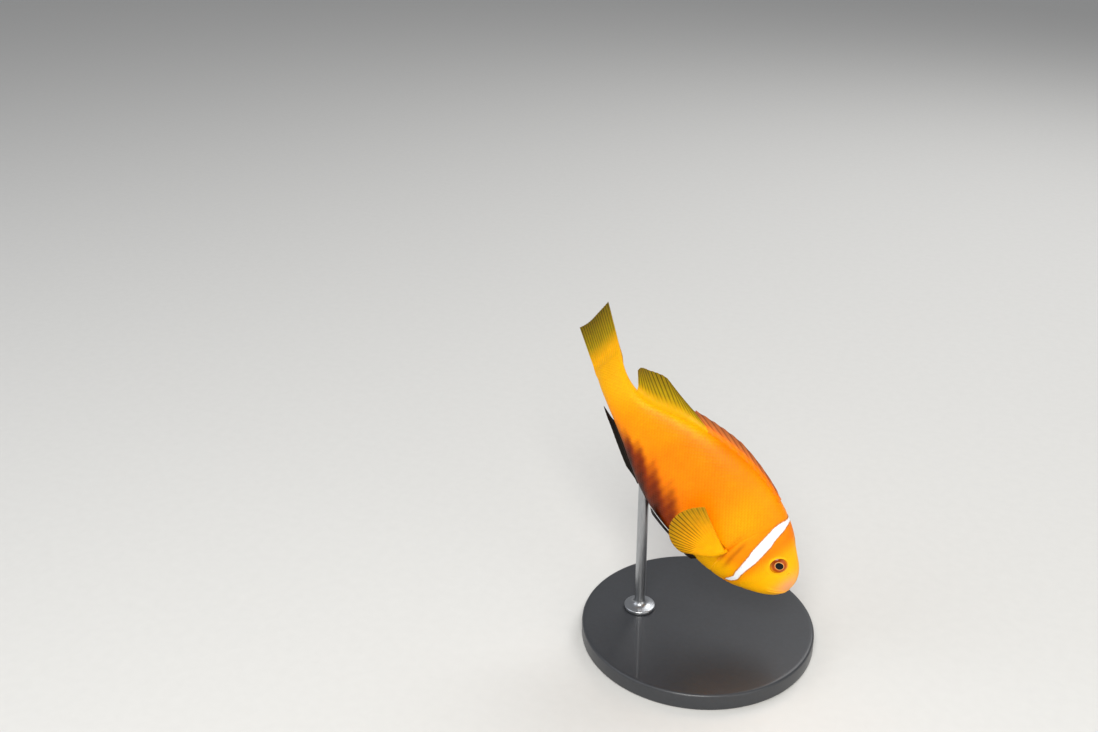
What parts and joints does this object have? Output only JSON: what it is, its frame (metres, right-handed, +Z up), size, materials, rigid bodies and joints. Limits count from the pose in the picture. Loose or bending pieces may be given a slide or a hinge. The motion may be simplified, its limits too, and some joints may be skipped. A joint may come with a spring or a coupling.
{
  "type": "maldive anemonefish model",
  "caption": "Life-size still model of an orange anemonefish with a white head bar and black belly fins, swimming head down on a round base with a rod.",
  "frame": {"origin": "middle of the base's underside, on the surface the stand stands on", "axes": "+Z up, +X the side the head points to (the fish swims down toward +X), -Y the fish's right side, toward which the view looks, +Y the side its tail turns to"},
  "size_m": [0.0777, 0.066, 0.09],
  "materials": {
    "skin": "satin scaled skin, deep orange with golden yellow throat, one white bar behind the eye and a dusky belly",
    "eye": "glossy cornea over an orange-brown iris with a black pupil and a thin pale gold ring",
    "fin_salmon": "satin fin, salmon with fine dark slanting lines",
    "fin_olive": "satin fin, yellow at its base to olive with dark lines between the rays",
    "fin_yellow": "satin fin, yellow with dark lines between the rays",
    "fin_black": "satin black fin",
    "stand_base": "satin charcoal paint on a steel disc",
    "stand_rod": "brushed"
  },
  "bodies": {
    "root": {"head": "skin", "lower_jaw": "skin", "gill_cover_right": "skin", "gill_cover_left": "skin", "trunk": "skin", "tail_stalk": "skin", "eye_right": "eye", "eye_left": "eye", "dorsal_fin_spiny": "fin_salmon", "dorsal_fin_soft": "fin_olive", "tail_fin": "fin_olive", "anal_fin": "fin_black", "pelvic_fin_right": "fin_black", "pelvic_fin_left": "fin_black", "pectoral_fin_right": "fin_yellow", "pectoral_fin_left": "fin_yellow", "stand_base": "stand_base", "stand_rod": "stand_rod"}
  },
  "joints": []
}
